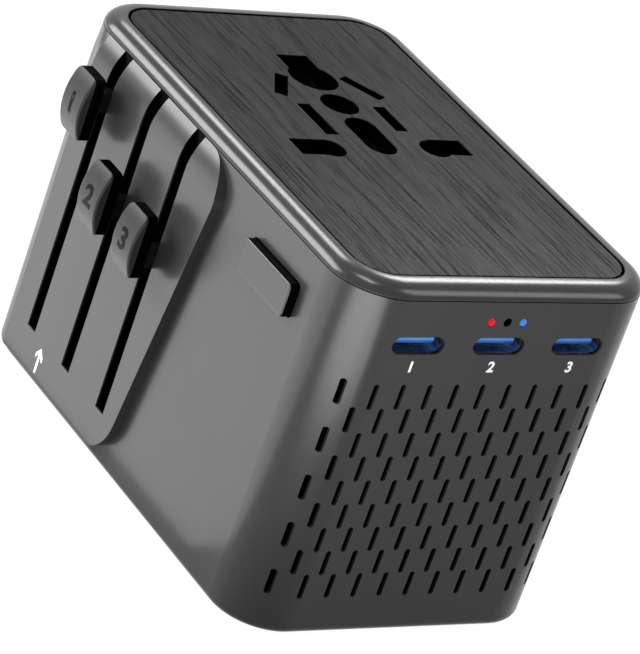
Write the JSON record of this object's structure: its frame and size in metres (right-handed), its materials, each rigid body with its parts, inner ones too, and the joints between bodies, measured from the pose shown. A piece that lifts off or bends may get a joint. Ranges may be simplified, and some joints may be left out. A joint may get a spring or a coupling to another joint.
{
  "type": "travel voltage converter",
  "caption": "Box-shaped travel voltage converter with universal socket face, side sliders for folding plug pins, mode button, USB-C ports and a slotted cooling grille.",
  "frame": {"origin": "centre of the pin face, the bottom face that lies against the wall outlet", "axes": "+Z from the pin face to the socket face, -Y out of the grille and USB face, -X out of the slider face"},
  "size_m": [0.0584, 0.0806, 0.0559],
  "materials": {
    "case_plastic": "fine moulded texture",
    "bezel_plastic": "polished dark grey",
    "brushed_panel": "brushed along Y, dark anodised",
    "inner_plastic": "black moulded",
    "knob_plastic": "satin",
    "pin_metal": "nickel plated",
    "contact_brass": "plain",
    "screw_steel": "plain",
    "board_green": "solder mask",
    "shell_steel": "bright",
    "tongue_blue": "moulded blue",
    "light_red": "lit lens",
    "light_dark": "unlit lens",
    "light_blue": "lit lens",
    "fan_black": "black moulded",
    "sink_aluminium": "extruded",
    "component_black": "epoxy",
    "relay_blue": "moulded",
    "fuse_glass": "clear",
    "core_ferrite": "ferrite",
    "copper_winding": "enamelled copper"
  },
  "bodies": {
    "case": {"main_case": "case_plastic", "pin_face_plate": "inner_plastic", "plate_screws": "screw_steel", "top_bezel": "bezel_plastic", "socket_panel": "brushed_panel", "socket_block": "inner_plastic", "line_contact": "contact_brass", "neutral_contact": "contact_brass", "earth_contacts": "contact_brass", "guide_frame": "inner_plastic", "tact_switch": "component_black", "switch_board": "board_green", "port_board": "board_green", "port_shells": "shell_steel", "port_tongues": "tongue_blue", "light_board": "board_green", "light_red": "light_red", "light_dark": "light_dark", "light_blue": "light_blue", "fan_frame": "fan_black", "fan_spindle": "screw_steel", "main_board": "board_green", "capacitors": "component_black", "heatsink": "sink_aluminium", "transistors": "component_black", "relay": "relay_blue", "fuse": "fuse_glass", "fuse_caps": "screw_steel", "fuse_clips": "contact_brass", "filter_board": "board_green", "transformer_core": "core_ferrite", "transformer_coil": "copper_winding", "choke": "copper_winding"},
    "eu_slider": {"eu_carriage": "inner_plastic", "eu_knob": "knob_plastic", "eu_pins": "pin_metal"},
    "uk_slider": {"uk_carriage": "inner_plastic", "uk_knob": "knob_plastic", "uk_pins": "pin_metal", "uk_earth_pin": "pin_metal"},
    "us_slider": {"us_carriage": "inner_plastic", "us_knob": "knob_plastic"},
    "left_blade": {"us_swivel_left": "inner_plastic", "us_blade_left": "pin_metal"},
    "right_blade": {"us_swivel_right": "inner_plastic", "us_blade_right": "pin_metal"},
    "mode_button": {"mode_button": "case_plastic"},
    "fan": {"fan_rotor": "fan_black"}
  },
  "joints": [
    {"name": "eu_slide", "type": "slide", "parent": "case", "child": "eu_slider", "axis": [0, 0, -1], "range_m": [0, 0.035]},
    {"name": "uk_slide", "type": "slide", "parent": "case", "child": "uk_slider", "axis": [0, 0, -1], "range_m": [0, 0.0214]},
    {"name": "us_slide", "type": "slide", "parent": "case", "child": "us_slider", "axis": [0, 0, -1], "range_m": [0, 0.02]},
    {"name": "left_swivel", "type": "hinge", "parent": "us_slider", "child": "left_blade", "pos_m": [-0.00635, -0.0185, 0.03], "axis": [0, 0, -1], "range_deg": [0, 30]},
    {"name": "right_swivel", "type": "hinge", "parent": "us_slider", "child": "right_blade", "pos_m": [0.00635, -0.0185, 0.03], "axis": [0, 0, -1], "range_deg": [-30, 0]},
    {"name": "mode_press", "type": "slide", "parent": "case", "child": "mode_button", "axis": [1, 0, 0], "range_m": [0, 0.001], "stiffness_N_per_m": 400},
    {"name": "fan_spin", "type": "hinge", "parent": "case", "child": "fan", "pos_m": [0, -0.034, 0.023], "axis": [0, 1, 0], "continuous": true}
  ]
}
